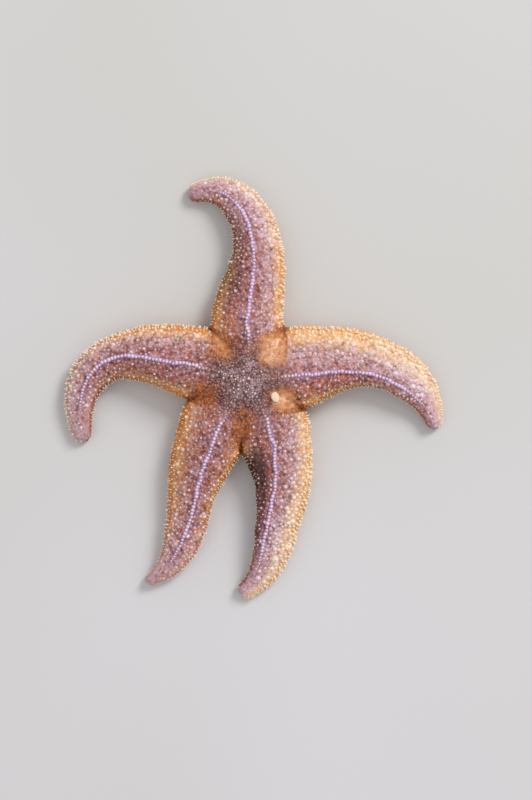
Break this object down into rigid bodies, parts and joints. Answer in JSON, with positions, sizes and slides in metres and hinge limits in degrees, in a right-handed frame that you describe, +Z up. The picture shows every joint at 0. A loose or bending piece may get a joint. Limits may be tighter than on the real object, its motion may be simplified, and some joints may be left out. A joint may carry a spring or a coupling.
{
  "type": "common starfish, Asterias rubens",
  "caption": "Still, life-size common starfish with bent, tapering arms round a low disc, a ridge of spines on each arm and grooved flats that rest on the floor.",
  "frame": {"origin": "on the floor, under the middle of the animal's bounding box", "axes": "+Z up from the floor, +Y the way the longest span lies, towards the upright top arm, +X to its right seen from above"},
  "size_m": [0.1368, 0.1522, 0.0151],
  "materials": {
    "skin": "damp orange and mauve skin, rough with small pale spines",
    "spines": "chalky blunt lime spines, cream at the edges and lavender on the ridges",
    "lime_plate": "matt cream lime, finely grooved",
    "lips": "soft damp pale skin",
    "tube_feet": "soft translucent pale yellow",
    "eyespot": "wet deep red"
  },
  "bodies": {
    "root": {"disc": "skin", "sieve_plate": "lime_plate", "mouth": "lips", "arm_top_base": "skin", "arm_top_middle": "skin", "arm_top_tip": "skin", "arm_top_eye": "eyespot", "arm_right_base": "skin", "arm_right_middle": "skin", "arm_right_tip": "skin", "arm_right_eye": "eyespot", "arm_lower_right_base": "skin", "arm_lower_right_middle": "skin", "arm_lower_right_tip": "skin", "arm_lower_right_eye": "eyespot", "arm_lower_left_base": "skin", "arm_lower_left_middle": "skin", "arm_lower_left_tip": "skin", "arm_lower_left_eye": "eyespot", "arm_left_base": "skin", "arm_left_middle": "skin", "arm_left_tip": "skin", "arm_left_eye": "eyespot"}
  },
  "joints": []
}
